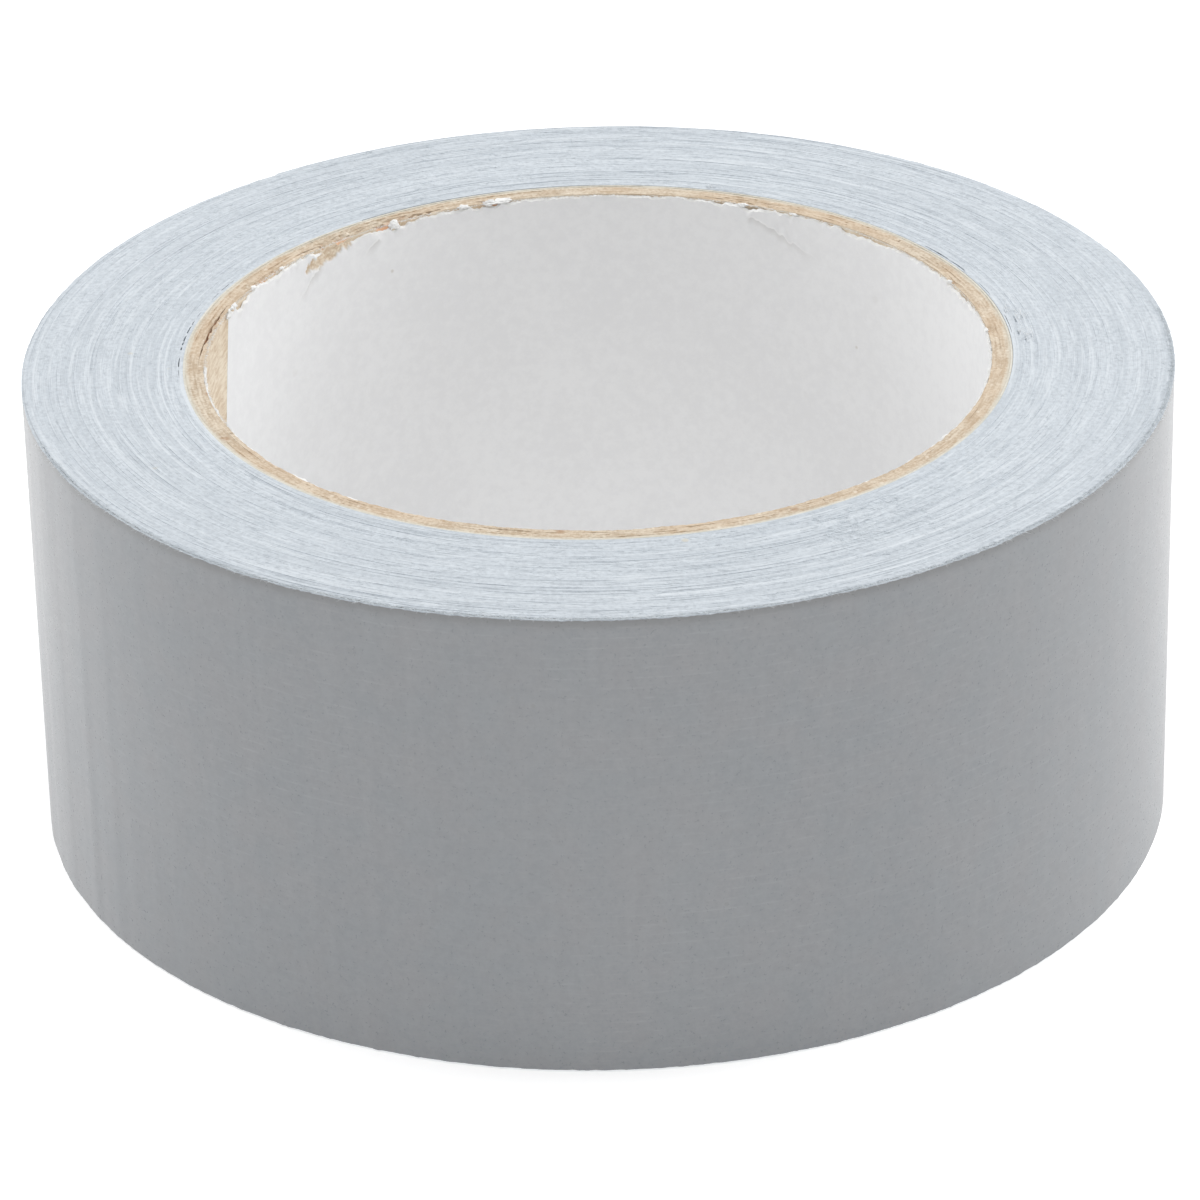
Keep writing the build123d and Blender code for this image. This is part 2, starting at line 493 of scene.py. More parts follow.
def wound_edge_material():
    """The slit edges of the wound tape: pale felt of cut cloth and adhesive, with concentric streaks."""
    paint = Paint("wound_tape_edges", Roughness=0.75)
    place = paint.place()
    # Concentric marks in the edges' colour, partly the cut cloth's own streaks and partly painted light:
    # the darker rings are painted shade in the grooves between turns, and the pale arcs are painted
    # highlights on raised ridges.
    ridge_highlight_arcs = paint.noise(ring_coordinates(paint, 1.5, 2300.0), 1.0, 1.0)
    streaks = paint.noise(ring_coordinates(paint, 8.0, 3000.0), 1.0, 2.0)
    groove_shade_rings = paint.noise(ring_coordinates(paint, 15.0, 3900.0), 1.0, 1.0)
    bands = paint.noise(ring_coordinates(paint, 1.3, 900.0), 1.0, 2.0)
    felt = paint.noise(place, 1900.0, 3.0, 0.7)
    color = paint.mix(paint.between(bands, 0.35, 0.65), EDGE_TONES[0], EDGE_TONES[1])
    color = paint.mix(paint.between(felt, 0.34, 0.62, 0.8, 0.0), color, EDGE_TONES[2])
    color = paint.mix(paint.between(groove_shade_rings, 0.52, 0.75, 0.0, 0.4), color, EDGE_TONES[2])
    color = paint.mix(paint.between(streaks, 0.5, 0.72, 0.0, 0.45), color, EDGE_TONES[3])
    highlight_patches = paint.between(paint.noise(place, 24.0, 1.0), 0.35, 0.6, 0.15, 0.55)
    color = paint.mix(paint.math("MULTIPLY", paint.between(ridge_highlight_arcs, 0.56, 0.7), highlight_patches), color, EDGE_TONES[3])
    stains = paint.specks(place, 260.0, 0.12, 0.05)
    color = paint.mix(paint.math("MULTIPLY", stains, 0.45), color, rgb(0.6, 0.52, 0.36))
    relief = paint.math("ADD", paint.math("MULTIPLY", felt, 1.6), paint.math("MULTIPLY", streaks, 0.7))
    return paint.finish(Base_Color=color, Normal=paint.bump(relief, 0.028 * MM))


def scrim_material():
    """Off-white woven cotton cloth."""
    paint = Paint("tape_scrim_cloth", Roughness=0.85)
    threads = paint.noise(paint.scale(paint.strip(), (900.0, 5000.0, 1.0)), 1.0, 2.0)
    color = paint.mix(threads, rgb(0.6, 0.62, 0.62), rgb(0.78, 0.79, 0.78))
    return paint.finish(Base_Color=color, Normal=paint.bump(threads, 0.03 * MM))


def adhesive_material():
    """Grey rubber adhesive, slightly glossy, with the cloth's grid pressed into it."""
    paint = Paint("tape_adhesive_tacky", Roughness=0.38)
    strip = paint.strip()
    patches = paint.noise(paint.scale(strip, (260.0, 260.0, 1.0)), 1.0, 3.0)
    pores = paint.noise(paint.scale(strip, (2600.0, 2600.0, 1.0)), 1.0, 2.0)
    color = paint.mix(patches, rgb(0.47, 0.49, 0.5), rgb(0.6, 0.62, 0.62))
    rough = paint.between(pores, 0.3, 0.7, 0.3, 0.5)
    return paint.finish(Base_Color=color, Roughness=rough, Normal=paint.bump(pores, 0.02 * MM))


def paper_material(name, dark, light, grain, relief, flecks=(), torn=None, along=None, creases=()):
    """Uncoated paper: two tones mixed by fibres of `grain` cells a metre and by clouds. Each fleck is
    (cells a metre, share, strength, colour). `torn` is the paper below, which shows where the mesh's
    "torn" attribute is 1. `along` stretches the fibres along the ply, and creases get a painted highlight
    and painted shade."""
    paint = Paint(name, Roughness=0.88)
    place = paint.place()
    fibres = paint.noise(paint.scale(paint.strip(), (along, 1.0, 1.0)) if along else place, grain, 4.0, 0.7)
    clouds = paint.noise(place, grain / 9, 2.0)
    tone = paint.math("ADD", paint.math("MULTIPLY", fibres, 0.7), paint.math("MULTIPLY", clouds, 0.3))
    color = paint.mix(paint.between(tone, 0.38, 0.62), rgb(*dark), rgb(*light))
    for cells, share, strength, fleck in flecks:
        spots = paint.specks(place, cells, 0.26, share)
        color = paint.mix(paint.math("MULTIPLY", spots, strength), color, rgb(*fleck))
    if torn is not None:
        mask = paint.node("Attribute", {}, "Fac", attribute_name="torn")
        grain_below = paint.between(paint.noise(place, 2600.0, 3.0), 0.35, 0.65)
        below = paint.mix(grain_below, rgb(*torn[0]), rgb(*torn[1]))
        color = paint.mix(mask, color, below)
    for start, end in creases:
        color = crease_light_and_shade(paint, color, start, end)
    return paint.finish(Base_Color=color, Normal=paint.bump(fibres, relief))


def on_liner(azimuth, height):
    """A point of the liner's face in its strip coordinates, which start where the gap ends."""
    if azimuth < LINER_GAP[1]:
        azimuth += 360
    return Vector((math.radians(azimuth) * BORE_RADIUS, height * MM, 0))


def crease_light_and_shade(paint, color, start, end):
    """A fold in the liner's face: a painted highlight along its crest and painted shade below it, fading to
    its end.
    start and end are (azimuth, height in mm)."""
    first = on_liner(*start)
    way = on_liner(*end) - first
    from_first = paint.node("VectorMath", {0: paint.strip(), 1: first}, operation="SUBTRACT")
    across = Vector((-way.y, way.x, 0)).normalized() * (1 if way.x < 0 else -1)
    t = paint.dot(from_first, way / way.length_squared)
    side = paint.dot(from_first, across)
    wander = paint.math("SUBTRACT", paint.noise(paint.strip(), 900.0, 2.0), 0.5)
    side = paint.math("ADD", side, paint.math("MULTIPLY", wander, 0.4 * MM))
    on_line = paint.math("MULTIPLY", paint.between(t, -0.02, 0.03), paint.between(t, 0.3, 1.0, 1.0, 0.0))
    ridge_highlight = paint.between(paint.math("ABSOLUTE", side), 0.0, 0.14 * MM, 1.0, 0.0)
    near = paint.between(side, 0.0, 0.15 * MM)
    below = paint.math("MULTIPLY", near, paint.between(side, 0.15 * MM, 1.1 * MM, 1.0, 0.0))
    # Painted shade below the fold, then a painted highlight along its crest.
    for shape, strength, tone in ((below, 0.3, rgb(0.42, 0.41, 0.39)), (ridge_highlight, 0.6, rgb(0.86, 0.86, 0.85))):
        amount = paint.math("MULTIPLY", paint.math("MULTIPLY", shape, on_line), strength)
        color = paint.mix(amount, color, tone)
    return color


def kraft_material():
    """Kraft board: the cut edge shows its thin sheets, and away from its top and bottom faces, where cracks
    show it, it gets a painted deeper brown for the shade there.
    """
    paint = Paint("kraft_paper", Roughness=0.88)
    place = paint.place()
    grain = paint.noise(place, 3000.0, 3.0, 0.65)
    sheets = paint.noise(ring_coordinates(paint, 12.0, 4200.0), 1.0, 1.0)
    clouds = paint.noise(place, 380.0, 2.0)
    tone = paint.math("ADD", paint.math("MULTIPLY", grain, 0.5), paint.math("MULTIPLY", sheets, 0.3))
    tone = paint.math("ADD", tone, paint.math("MULTIPLY", clouds, 0.2))
    color = paint.mix(paint.between(tone, 0.4, 0.6), rgb(*KRAFT_TONES[0]), rgb(*KRAFT_TONES[1]))
    warm = paint.between(paint.noise(place, 75.0, 3.0), 0.4, 0.65, 0.0, 0.3)
    color = paint.mix(warm, color, rgb(0.60, 0.43, 0.28))
    for cells, share, strength, fleck in KRAFT_FLECKS:
        spots = paint.specks(place, cells, 0.3, share)
        color = paint.mix(paint.math("MULTIPLY", spots, strength), color, rgb(*fleck))
    radius = paint.node("VectorMath", {0: from_axis(paint)}, "Value", operation="LENGTH")
    frayed = paint.math("ADD", radius, paint.math("MULTIPLY", paint.math("ADD", grain, sheets), 0.5 * MM))
    edge = CORE_RADIUS - COVER_PLY + 0.5 * MM
    color = paint.mix(paint.between(frayed, edge - 0.5 * MM, edge, 0.0, 0.8), color, rgb(0.63, 0.595, 0.51))
    # Painted shade: all kraft more than 0.3 to 0.7 mm from the top and bottom faces is tinted a deeper
    # brown; where it shows, in the cracks and the deepest rim tears, it stands for the warm shade there.
    from_middle = paint.math("ABSOLUTE", paint.math("SUBTRACT", paint.split(place)[2], HEIGHT / 2))
    crack_shade = paint.between(from_middle, HEIGHT / 2 - 0.7 * MM, HEIGHT / 2 - 0.3 * MM, 1.0, 0.0)
    color = paint.mix(crack_shade, color, rgb(0.70, 0.40, 0.24))
    return paint.finish(Base_Color=color, Normal=paint.bump(grain, 0.03 * MM))


def floor_material():
    """A pale matt light table, which glows a little so that it throws light up on the roll."""
    paint = Paint("studio_floor", Roughness=0.9, Emission_Strength=FLOOR_GLOW)
    tone = paint.noise(paint.place(), 3.0, 2.0)
    color = paint.mix(tone, rgb(0.86, 0.86, 0.86), rgb(0.88, 0.88, 0.88))
    return paint.finish(Base_Color=color, Emission_Color=rgb(1, 1, 1))


FLOOR_GLOW = 0.40
# The liner's axial gap, in degrees.
LINER_GAP = (162.0, 181.5)
# Creases in the liner, each from its upper to its lower end: azimuth, height in mm, and its depth in mm.
CREASES = [((65.3, 47.6), (52.0, 43.2), 0.3), ((137.0, 47.0), (143.0, 43.0), 0.22),
           ((125.5, 47.6), (128.5, 45.6), 0.2)]
KRAFT_TONES = (0.47, 0.372, 0.268), (0.66, 0.58, 0.47)
KRAFT_FLECKS = [(1500.0, 0.22, 0.4, (0.42, 0.27, 0.16)), (1100.0, 0.3, 0.5, (0.82, 0.76, 0.66)),
                (500.0, 0.12, 0.5, (0.36, 0.2, 0.11))]
BARED_TONES = (0.56, 0.43, 0.30), (0.74, 0.65, 0.52)
LINER_FLECKS = [(900.0, 0.004, 0.5, (0.5, 0.46, 0.40)), (420.0, 0.012, 0.12, (0.55, 0.53, 0.5))]
FILM_MATERIAL = film_material()
EDGE_MATERIAL = wound_edge_material()
SCRIM_MATERIAL = scrim_material()
ADHESIVE_MATERIAL = adhesive_material()
KRAFT_MATERIAL = kraft_material()
BARED_MATERIAL = paper_material("bared_kraft", *BARED_TONES, 2200.0, 0.02 * MM, KRAFT_FLECKS[:2], along=0.2)
COVER_MATERIAL = paper_material("cover_paper", (0.57, 0.545, 0.47), (0.68, 0.655, 0.59), 2600.0, 0.03 * MM)
LINER_TONES = (0.75, 0.752, 0.758), (0.785, 0.788, 0.792)
# The liner's creases get a painted highlight and painted shade in its colour.
LINER_MATERIAL = paper_material("liner_paper", *LINER_TONES, 900.0, 0.008 * MM, LINER_FLECKS, BARED_TONES,
                                creases=[(start, end) for start, end, depth in CREASES])
LINT_MATERIAL = paper_material("cotton_lint", (0.60, 0.65, 0.69), (0.74, 0.78, 0.81), 2000.0, 0.002 * MM)
FLUFF_MATERIAL = paper_material("torn_paper", (0.78, 0.78, 0.77), (0.88, 0.88, 0.87), 2400.0, 0.002 * MM,
                                torn=BARED_TONES)
FRAY_MATERIAL = paper_material("frayed_cotton", (0.80, 0.81, 0.82), (0.90, 0.91, 0.92), 2400.0, 0.002 * MM)


# ---------------------------------------------------------------- the wound tape

# The lengths the winding is cut into: first and last turn, and steps in a turn.
LENGTHS = [(0, 3, 1500), (3, 21, 420), (21, 42, 420), (42, 62, 420), (62, TURNS - 2, 420),
           (TURNS - 2, TURNS - 1, 420)]
EDGE_SECTION = outline([0, 1], [0.25, 0.63])
# The side of that section that is the turn's outer wall.
OUTER_WALL = 4

# Places where two turns have parted: (azimuth, half width in degrees, turn, opening in mm), and how
# finely the parting is broken up on each of those turns, in cells a radian.
OPENINGS = [(32, 33, 1, 0.19), (174, 12, 2, 0.16), (156, 6, 2, 0.1), (118, 10, 1, 0.12), (72, 8, 1, 0.15)]
BREAKS = {1: 24, 2: 75}
# Short gashes, one turn wide, in the upper side face: (azimuth, half width in degrees, turn, depth in mm).
GASHES = [(10.6, 1.1, 2, 0.2), (7.8, 1.3, 5, 0.22), (8.4, 0.9, 9, 0.16), (3.6, 1.2, 4, 0.2),
          (2.4, 0.8, 10, 0.16), (1.6, 1.1, 7, 0.22), (73, 0.5, 3, 0.2)]


def edge_recess(wound, across, seed):
    """How far the slit edge stands back from the side face, with some turns standing proud."""
    turn = wound / TURN
    azimuth = spiral_azimuth(wound)
    group = ring_noise(azimuth, turn * 0.22, 9, seed)
    proud = smoothstep(noise(wound * 0.9, 0, seed + 1), 0.3, 0.7)
    fray = noise(wound * 26, across * 2, seed + 2)
    tilt = noise(wound * 1.3, 0, seed + 3) * (across - 0.5)
    by_core = 0.25 + 0.75 * smoothstep(turn, 0, 5)
    return np.maximum(0.09 + 0.04 * group - 0.03 * proud + 0.02 * fray + 0.02 * tilt, 0) * by_core * MM


def gashed(wound):
    """Extra depth in the upper side face's gashes."""
    azimuth = spiral_azimuth(wound)
    turn = np.floor(wound / TURN)
    deep = 0.0
    for centre, half_width, gashed_turn, depth in GASHES:
        deep = deep + depth * (turn == gashed_turn) * hump(azimuth, centre, half_width)
    return deep * MM


def wound_height(wound, across, up):
    top = HEIGHT - edge_recess(wound, across, 11) - gashed(wound)
    bottom = edge_recess(wound, across, 31)
    return np.where(up > 0.5, top, bottom)


def wound_depth(wound, across, up):
    """The turn's thickness, with its inner face pushed out where two turns have parted."""
    azimuth = spiral_azimuth(wound)
    opening = 0.0
    for centre, half_width, turn, gap in OPENINGS:
        broken = smoothstep(noise(wound * BREAKS[turn], 0, 21 + turn), -0.4, 0.0)
        here = (np.floor(wound / TURN) == turn) * hump(azimuth, centre, half_width) ** 0.5
        opening = opening + gap * here * broken
    return across * TAPE + (1 - across) * opening * MM


def make_winding():
    """Every turn but the last, as the one strip that it is, cut into lengths."""
    for number, (first, last, steps) in enumerate(LENGTHS):
        along = np.linspace(first * TURN, last * TURN, (last - first) * steps + 1)
        radius = CORE_RADIUS + (first + last) / 2 * TAPE
        faces = [int(last == TURNS - 1 and face == OUTER_WALL) for face in range(len(EDGE_SECTION))]
        piece = band(f"wound_turns_{number + 1}", spiral_place, along, EDGE_SECTION, wound_depth,
                     wound_height, radius, (TAPE, HEIGHT), [EDGE_MATERIAL, FILM_MATERIAL], faces)
        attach(piece, "roll")
        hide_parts("tape_winding")


def make_lint():
    """Cotton fibres that the slitting knife pulled out of the cloth, on both side faces."""
    whole = (0, 360)
    inner, outer = CORE_RADIUS + 0.3 * MM, OUTER_RADIUS - 0.2 * MM
    width = 0.016 * MM
    level = HEIGHT - 0.06 * MM
    sets = [
        ("lint_top", 201, 6500, whole, (inner, outer), level, (0.25 * MM, 0.9 * MM), 20, 0.05),
        ("lint_bottom", 202, 5000, whole, (inner, outer), 0.09 * MM, (0.25 * MM, 0.9 * MM), 20, 0.0),
        ("lint_rim", 203, 5000, (-162, 8), (OUTER_RADIUS - 0.35 * MM, OUTER_RADIUS + 0.05 * MM), level,
         (0.2 * MM, 0.8 * MM), 32, 0.12),
        ("lint_scuff", 205, 300, (-63, -50), (CORE_RADIUS + 1.5 * MM, CORE_RADIUS + 8 * MM), level,
         (0.3 * MM, 1.0 * MM), 60, 0.1),
    ]
    for name, seed, count, azimuths, radii, height, long, skew, lift in sets:
        piece = ring_hairs(name, seed, count, azimuths, radii, height, long, width, skew, lift,
                           LINT_MATERIAL)
        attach(piece, "roll")
    frays = [(azimuth, CORE_RADIUS + (turn + 1.6) * TAPE, level + 0.08 * MM, 1.1 * MM, 16)
             for azimuth, half_width, turn, depth in GASHES]
    piece = tufts("lint_frays", 204, frays, 0.02 * MM, FRAY_MATERIAL)
    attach(piece, "roll")


# ---------------------------------------------------------------- the last turn and the tail

# Each layer's inner and outer face, its material, and how ragged its slit edges are in mm.
LAYERS = {
    "adhesive": (0, ADHESIVE, ADHESIVE_MATERIAL, 0.03),
    "scrim": (ADHESIVE, ADHESIVE + SCRIM, SCRIM_MATERIAL, 0.06),
    "film": (ADHESIVE + SCRIM, TAPE, FILM_MATERIAL, 0.16),
}
# The wall's height levels. From RIM_LEVEL up, it looks like the slit edge.
RIM_LEVEL = 0.996
WALL_LEVELS = [0, 0.004, 0.02, *np.linspace(0.06, 0.94, 23), 0.98, RIM_LEVEL, 1]


def wrap_ripple(wound, up):
    """Outward waviness of the last turn, the same for its three layers."""
    azimuth = spiral_azimuth(wound)
    slow = 0.5 + 0.5 * noise(wound * 9, up * 2, 51)
    upright = 0.5 + 0.5 * noise(wound * 34, up * 0.9, 52)
    left = hump(azimuth, 200, 35)
    return (0.03 * slow + 0.08 * upright * left) * MM


def layer_height(seed, shear):
    """A layer's slit edges, `shear` mm deep in their teeth."""
    def height(wound, across, up):
        ragged = 0.5 + 0.5 * noise(wound * 75, 0, seed)
        fine = 0.5 + 0.5 * noise(wound * 190, 0, seed + 2)
        slow = 0.5 + 0.5 * noise(wound * 6, 0, seed + 1)
        recess = (0.09 + shear * (0.6 * ragged + 0.4 * fine) + 0.05 * slow) * MM
        return recess + up * (HEIGHT - 2 * recess) + 0 * across
    return height


def layer_band(name, layer, start, end, steps, clearance=0.0):
    """A length of one layer of the last turn. Its slit edges look like the wound tape's."""
    low, high, material, shear = LAYERS[layer]
    low = max(low, clearance)
    seed = 61 + 10 * list(LAYERS).index(layer)

    def depth(wound, across, up):
        bulge = across if layer == "adhesive" else 1
        return low + (high - low) * across + wrap_ripple(wound, up) * bulge

    section = outline(WALL_LEVELS)
    ups = section[:, 1]
    slit = [min(up, next_up) >= RIM_LEVEL for up, next_up in zip(ups, np.roll(ups, -1))]
    rim = [cut and (across == 0 or layer != "film") for cut, across in zip(slit, section[:, 0])]
    along = np.linspace(start, end, steps + 1)
    return band(name, spiral_place, along, section, depth, layer_height(seed, shear), OUTER_RADIUS,
                (high - low, HEIGHT), [material, EDGE_MATERIAL], rim, LAST_TURN)


def make_outer_wrap():
    """The part of the last turn that stays on the roll."""
    for layer in LAYERS:
        piece = layer_band(f"last_turn_{layer}", layer, LAST_TURN, TAIL_START, 900)
        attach(piece, "roll")
        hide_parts(f"outer_wrap_{layer}")


def tail_point(wound):
    """A point on the tape's outer face, at mid height."""
    return Vector(spiral_place(np.array(wound), TAPE, HEIGHT / 2).tolist())


def make_tail():
    """The free end: a length across each hinge, and the tip, which only rides."""
    hinges = [TAIL_START + k * SEGMENT_ANGLE for k in range(SEGMENTS)]
    cuts = [TAIL_START] + [hinge + SEGMENT_ANGLE / 2 for hinge in hinges]
    bodies = ["roll"] + [f"tail_{k + 1}" for k in range(SEGMENTS)]
    for layer in LAYERS:
        for k in range(SEGMENTS):
            name = f"tail_bend_{k + 1}_{layer}"
            piece = layer_band(name, layer, cuts[k], cuts[k + 1], 40, TAIL_CLEARANCE)
            tail_point(cuts[k])
            tail_point(cuts[k + 1])
            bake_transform(piece)
            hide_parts(f"tail_{k + 1}_{layer}")
        tip = layer_band(f"tail_tip_{layer}", layer, cuts[-1], TURNS * TURN, 20, TAIL_CLEARANCE)
        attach(tip, bodies[-1])


# ---------------------------------------------------------------- the core

CORE_LEVELS = [0, 0.01, 0.3, 0.7, 0.88, 0.94, 0.965, 0.985, 1]
RIM_LEVELS = [0.2, 0.4, 0.6, 0.8]
# Each ply's axial seam, from the inner ply out, in degrees.
PLY_SEAMS = [205, 302, 39, 136, 233]
SEAM_HALF_ANGLE = 0.05
CORE_STEPS = 1500

# Damage to the core's upper rim: (azimuth, half width in degrees, depth in mm).
RIM_TEARS = [(169, 12, 0.35), (150, 12, 0.4), (134, 8, 0.7), (121, 11, 0.8), (105, 4, 0.6), (66, 9, 0.35),
             (23, 3, 0.3), (5, 1.5, 0.7), (-40, 25, 0.15), (-140, 30, 0.1)]
# How much of that damage reaches each ply, from the inner one out.
TEAR_SHARE = [1.0, 0.6, 0.25, 0.1, 0.0]
# Places where the innermost ply has split from the next: (azimuth, half width in degrees, opening in mm).
SPLITS = [(169.5, 10, 0.2), (136, 5, 0.14), (127, 4, 0.24), (118, 6, 0.26), (106, 3, 0.24), (69, 4, 0.14)]


def torn_depth(azimuth, seed):
    """How far the rim is torn down, in mm, with a ragged edge."""
    ragged = 0.55 + 0.45 * ring_noise(azimuth, 0, 450, seed) + 0.3 * ring_noise(azimuth, 0, 110, seed + 1)
    return sum(depth * hump(azimuth, centre, half) for centre, half, depth in RIM_TEARS) * ragged


def split_opening(azimuth, up, seed):
    """How far one side of the crack behind the innermost ply stands back. It closes below the rim."""
    ragged = 0.6 + 0.6 * ring_noise(azimuth, 0, 620, seed) + 0.5 * ring_noise(azimuth, 0, 230, seed + 1)
    widest = sum(opening * hump(azimuth, centre, half) ** 0.4 for centre, half, opening in SPLITS)
    return np.clip(widest * ragged, 0, 0.3) * smoothstep(up, 0.983, 0.998) * MM


def ply_height(ply):
    """The rough cut edge of a kraft ply, with tears along the inner ones."""
    def height(azimuth, across, up):
        rough = 0.5 + 0.5 * ring_noise(azimuth, across * 3, 700, 101 + ply)
        slow = 0.5 + 0.5 * ring_noise(azimuth, across * 2, 80, 111 + ply)
        tear = TEAR_SHARE[ply] * torn_depth(azimuth, 121 + 2 * ply) * (1.2 - 0.4 * across)
        wear = 0.06 * rough + 0.08 * slow if ply < KRAFT_PLIES else 0.02 * rough + 0.01 * slow
        top = HEIGHT - (wear + np.maximum(tear, 0)) * MM
        bottom = (0.06 * rough + 0.04 * slow) * MM
        return bottom + up * (top - bottom)
    return height


def ply_depth(ply, inner, thickness):
    def depth(azimuth, across, up):
        if ply > 1:
            return inner + across * thickness + 0 * azimuth
        if ply == 1:
            torn_back = 0.5 * split_opening(azimuth, up, 98)
            return inner + torn_back + across * (thickness - torn_back)
        flap = 0.12 * MM * hump(azimuth, 171, 10) * smoothstep(up, 0.86, 0.98)
        furred = 0.04 * MM * ring_noise(azimuth, up * 60, 420, 97) * smoothstep(up, 0.93, 1)
        return inner - flap - furred * (1 - across) + across * (thickness - split_opening(azimuth, up, 95))
    return depth


def make_core_plies():
    """The kraft plies from the liner out, and the pale cover ply round them."""
    plies = [(f"kraft_ply_{k + 1}", f"core_ply_{k + 1}", KRAFT_PLY, KRAFT_MATERIAL, "kraft_paper")
             for k in range(KRAFT_PLIES)]
    plies.append(("cover_ply", "core_cover_ply", COVER_PLY, COVER_MATERIAL, "cover_paper"))
    section = outline(CORE_LEVELS, RIM_LEVELS)
    sides = section[:, 0]
    for ply, (name, node, thickness, material, slot) in enumerate(plies):
        inner = LINER + ply * KRAFT_PLY
        start, end = PLY_SEAMS[ply] + SEAM_HALF_ANGLE, PLY_SEAMS[ply] + 360 - SEAM_HALF_ANGLE
        along = np.linspace(start, end, CORE_STEPS + 1)
        run = math.radians(1) * (BORE_RADIUS + inner)
        bared = [int(ply == 0 and side == next_side == 0) for side, next_side in zip(sides, sides[1:])]
        piece = band(name, core_place, along, section, ply_depth(ply, inner, thickness),
                     ply_height(ply), run, (thickness, HEIGHT), [material, BARED_MATERIAL], bared + [0])
        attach(piece, "roll")
        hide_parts(node)


LINER_LEAN = 0.28  # degrees for each mm below the top
LINER_LEVELS = [0, 0.2, 0.4, 0.6, *np.linspace(0.7, 0.9, 6), *np.linspace(0.91, 1, 19)]
# Strips torn out of the liner's face: the upper end, the lower end, and the half width at each, in mm.
TORN_STRIPS = [((131.5, 48.8), (139.8, 46.5), 1.15, 0.35)]
# The liner thins out over its last degrees beside the gap.
LINER_SKIVE = 6.0
# Tears in the liner's upper edge: (azimuth, half width in degrees, depth in mm).
LINER_TEARS = [(159, 7, 0.65), (148, 10, 0.25), (133, 9, 0.45), (121, 9, 0.45), (107, 5, 0.3),
               (72, 5, 0.12), (65.2, 1.6, 0.3), (59, 5, 0.15), (45, 14, 0.22), (20, 16, 0.2)]
# Scraps of torn liner on the rim: (azimuth, height, half length, half height), in degrees and mm.
SCRAPS = [(110.6, 47.9, 0.55, 0.18), (106.6, 47.85, 0.55, 0.3), (104.7, 47.9, 1.3, 0.2),
          (122.4, 47.6, 0.55, 0.42), (145.5, 47.85, 0.35, 0.12), (153.5, 47.85, 0.45, 0.14),
          (160.4, 47.8, 0.7, 0.3), (162.2, 47.5, 0.55, 0.4), (66.5, 47.8, 0.6, 0.16),
          (58, 47.75, 0.5, 0.13), (5, 47.9, 0.3, 0.15), (23, 47.85, 0.35, 0.15)]


def wall_distance(azimuth, up, start, end):
    """The distance in mm, over the bore's wall, from a line on it, and the place along that line."""
    scale = math.radians(1) * BORE_RADIUS / MM
    x, y = azimuth % 360 * scale, up * HEIGHT / MM
    x0, x1 = start[0] * scale, end[0] * scale
    run, drop = x1 - x0, end[1] - start[1]
    t = np.clip(((x - x0) * run + (y - start[1]) * drop) / (run * run + drop * drop), 0, 1)
    return np.hypot(x - x0 - t * run, y - start[1] - t * drop), t


def strip_mask(azimuth, up):
    """1 where a strip is torn out of the liner's face, and 0 elsewhere."""
    ragged = 0.18 * noise(azimuth * 2.2, up * 90, 151)
    mask = 0.0
    for start, end, wide, narrow in TORN_STRIPS:
        distance, t = wall_distance(azimuth, up, start, end)
        edge = wide + (narrow - wide) * t + ragged
        mask = np.maximum(mask, 1 - smoothstep(distance, edge - 0.1, edge + 0.05))
    return mask


def liner_place(azimuth, depth, height):
    """The liner's cut edge leans: its foot is further round the bore than its top."""
    lean = LINER_LEAN * np.minimum((HEIGHT - height) / MM, 14)
    start = LINER_GAP[0] + 360
    return core_place(azimuth + lean * smoothstep(azimuth, start - 25, start), depth, height)


def liner_depth(azimuth, across, up):
    wave = 0.05 * ring_noise(azimuth, up * 2, 22, 131)
    lifted = 0.2 * hump(azimuth, 68, 8) * smoothstep(up, 0.95, 1)
    folds = 0.0
    for start, end, depth in CREASES:
        distance, t = wall_distance(azimuth, up, start, end)
        folds = folds + depth * np.exp(-distance / 0.4) * (1 - t ** 2)
    face = np.maximum(wave, -0.02) + lifted + folds
    from_cut = smoothstep(LINER_GAP[0] + 360 - azimuth, 0, LINER_SKIVE)
    thickness = (0.25 - 0.2 * strip_mask(azimuth, up)) * (0.12 + 0.88 * from_cut)
    curl = 0.1 * ring_noise(azimuth, 0, 300, 132) * smoothstep(up, 0.985, 1)
    return (0.25 - (1 - across) * thickness - (face + curl) * (1 - 0.3 * across) * from_cut) * MM


def liner_height(azimuth, across, up):
    """The liner's torn upper edge, bevelled inwards. At the front it stays below the kraft's edge."""
    ragged = 0.5 + 0.5 * ring_noise(azimuth, 0, 400, 141)
    fine = 0.5 + 0.5 * ring_noise(azimuth, across * 2, 1300, 142)
    slow = 0.5 + 0.5 * ring_noise(azimuth, 0, 90, 143)
    tears = sum(depth * hump(azimuth, centre, half) for centre, half, depth in LINER_TEARS)
    front = hump(azimuth, 277, 76) ** 0.5
    back = 1 - front
    loss = (0.16 * ragged + 0.14 * fine) * (0.4 + 0.6 * back) + 0.1 * slow * back + tears * (0.5 + ragged)
    bevel = 0.26 * (1 - across) * (0.1 + 0.9 * ragged) * back
    top = HEIGHT - (0.06 + 0.2 * front + loss + bevel) * MM
    return 0.05 * MM + up * (top - 0.05 * MM)


def make_liner():
    start, end = LINER_GAP
    along = np.linspace(end, start + 360, 1701)
    section = outline(LINER_LEVELS)
    torn_rim = [int(up == next_up == 1) for up, next_up in zip(section[:, 1], section[1:, 1])] + [0]
    piece = band("liner_sheet", liner_place, along, section, liner_depth, liner_height,
                 math.radians(1) * BORE_RADIUS, (LINER, HEIGHT), [LINER_MATERIAL, FLUFF_MATERIAL], torn_rim)
    torn = strip_mask(along[:, None], section[None, :, 1])
    attribute = piece.data.attributes.new("torn", "FLOAT", "POINT")
    attribute.data.foreach_set("value", torn.ravel().astype(np.float32))
    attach(piece, "roll")
    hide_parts("core_liner")


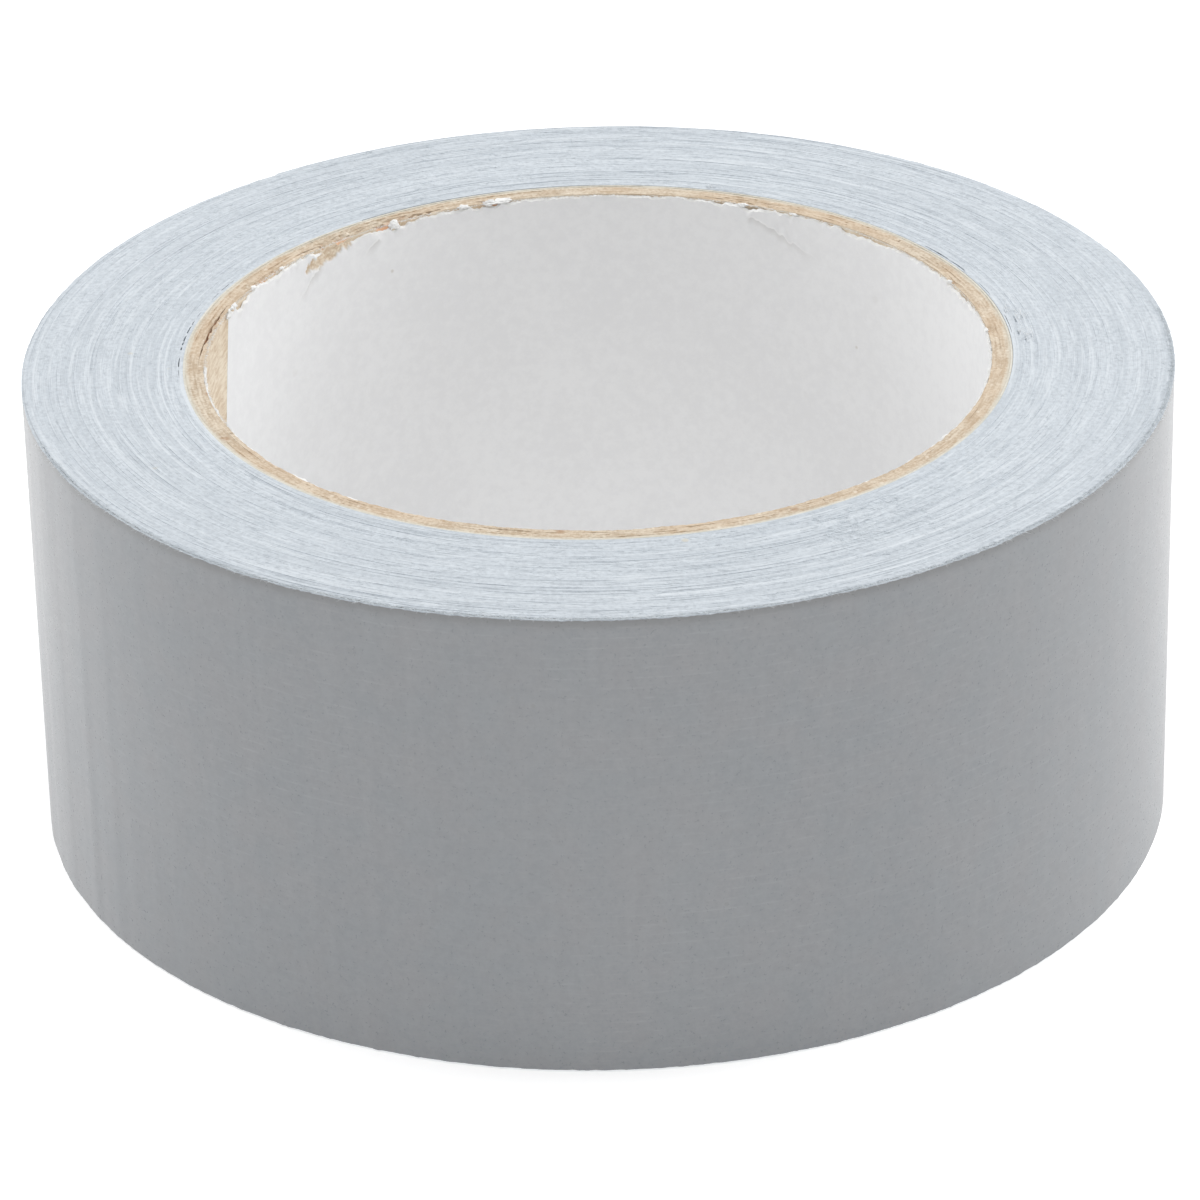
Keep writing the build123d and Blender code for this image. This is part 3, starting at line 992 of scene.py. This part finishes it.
def make_paper_fuzz():
    """Loose paper fibres along the core's rim, and scraps of torn liner."""
    level = HEIGHT - 0.2 * MM
    liner_rim = BORE_RADIUS + 0.02 * MM, BORE_RADIUS + LINER
    kraft_rim = BORE_RADIUS + LINER, CORE_RADIUS - COVER_PLY
    skew = 60
    rims = [
        ("liner_fuzz", 211, 3800, (-35, 205), liner_rim, (0.1 * MM, 0.35 * MM), 0.016 * MM, 0.3,
         FLUFF_MATERIAL, "liner_paper"),
        ("kraft_fuzz", 212, 2600, (0, 360), kraft_rim, (0.15 * MM, 0.5 * MM), 0.012 * MM, 0.4,
         BARED_MATERIAL, "kraft_paper"),
    ]
    for name, seed, count, azimuths, radii, lengths, width, lift, material, slot in rims:
        piece = ring_hairs(name, seed, count, azimuths, radii, level, lengths, width, skew, lift, material)
        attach(piece, "roll")
    piece = flakes("torn_liner_scraps", 213, SCRAPS, FLUFF_MATERIAL)
    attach(piece, "roll")


# ---------------------------------------------------------------- studio

CAMERA_ELEVATION = math.radians(27.49)
CAMERA_DISTANCE = 10.92 * OUTER_RADIUS
CAMERA_ROLL = math.radians(-1.228)
CAMERA_LENS = 184.4
AIM = Vector((-0.005 * OUTER_RADIUS, 0, 0.3625 * OUTER_RADIUS))
FLOOR_HALF = 3.0
# How far the floor lies below the roll, so that the two don't touch.
FLOOR_DROP = 0.02 * MM
SKY_STRENGTH = 0.62
# Soft lights round the roll: name, place, size in metres and power in watts.
LIGHTS = [
    ("left_softbox", (-0.85, 0.4, 0.45), 0.8, 4.6),
    ("right_softbox", (0.85, 0.35, 0.55), 0.8, 6.0),
    ("top_softbox", (0, 0.0, 1.1), 0.9, 3.0),
    ("front_fill", (0, -1.1, 0.5), 0.8, 0.9),
]


def make_camera():
    camera = bpy.data.objects.new("camera", bpy.data.cameras.new("camera"))
    bpy.context.scene.collection.objects.link(camera)
    camera.data.lens = CAMERA_LENS
    camera.data.sensor_width = 36
    back = Vector((0, -math.cos(CAMERA_ELEVATION), math.sin(CAMERA_ELEVATION)))
    stand = back * CAMERA_DISTANCE + Vector((0, 0, AIM.z))
    forward = (AIM - stand).normalized()
    right = forward.cross(Vector((0, 0, 1))).normalized()
    up = right.cross(forward)
    c, s = math.cos(CAMERA_ROLL), math.sin(CAMERA_ROLL)
    axes = Matrix((c * right + s * up, c * up - s * right, -forward)).transposed()
    camera.matrix_world = Matrix.Translation(stand) @ axes.to_4x4()
    bpy.context.scene.camera = camera


def make_light(name, place, size, power):
    light = bpy.data.lights.new(name, "AREA")
    light.size = size
    light.energy = power
    lamp = bpy.data.objects.new(name, light)
    lamp.location = place
    lamp.rotation_euler = (Vector((0, 0, HEIGHT / 2)) - Vector(place)).to_track_quat("-Z", "Y").to_euler()
    bpy.context.scene.collection.objects.link(lamp)


def make_studio():
    mesh = bpy.data.meshes.new("floor")
    corners = [(-1, -1), (1, -1), (1, 1), (-1, 1)]
    mesh.from_pydata([(x * FLOOR_HALF, y * FLOOR_HALF, 0) for x, y in corners], [], [(0, 1, 2, 3)])
    mesh.materials.append(floor_material())
    floor = bpy.data.objects.new("floor", mesh)
    floor.location.z = -FLOOR_DROP
    bpy.context.scene.collection.objects.link(floor)
    world = bpy.data.worlds.new("studio")
    world.use_nodes = True
    sky = world.node_tree.nodes["Background"]
    sky.inputs["Color"].default_value = rgb(1, 1, 1)
    sky.inputs["Strength"].default_value = SKY_STRENGTH
    bpy.context.scene.world = world
    for light in LIGHTS:
        make_light(*light)
    bpy.context.scene.view_settings.view_transform = "Standard"


make_winding()
make_lint()
make_outer_wrap()
make_tail()
make_core_plies()
make_liner()
make_paper_fuzz()
make_studio()
make_camera()
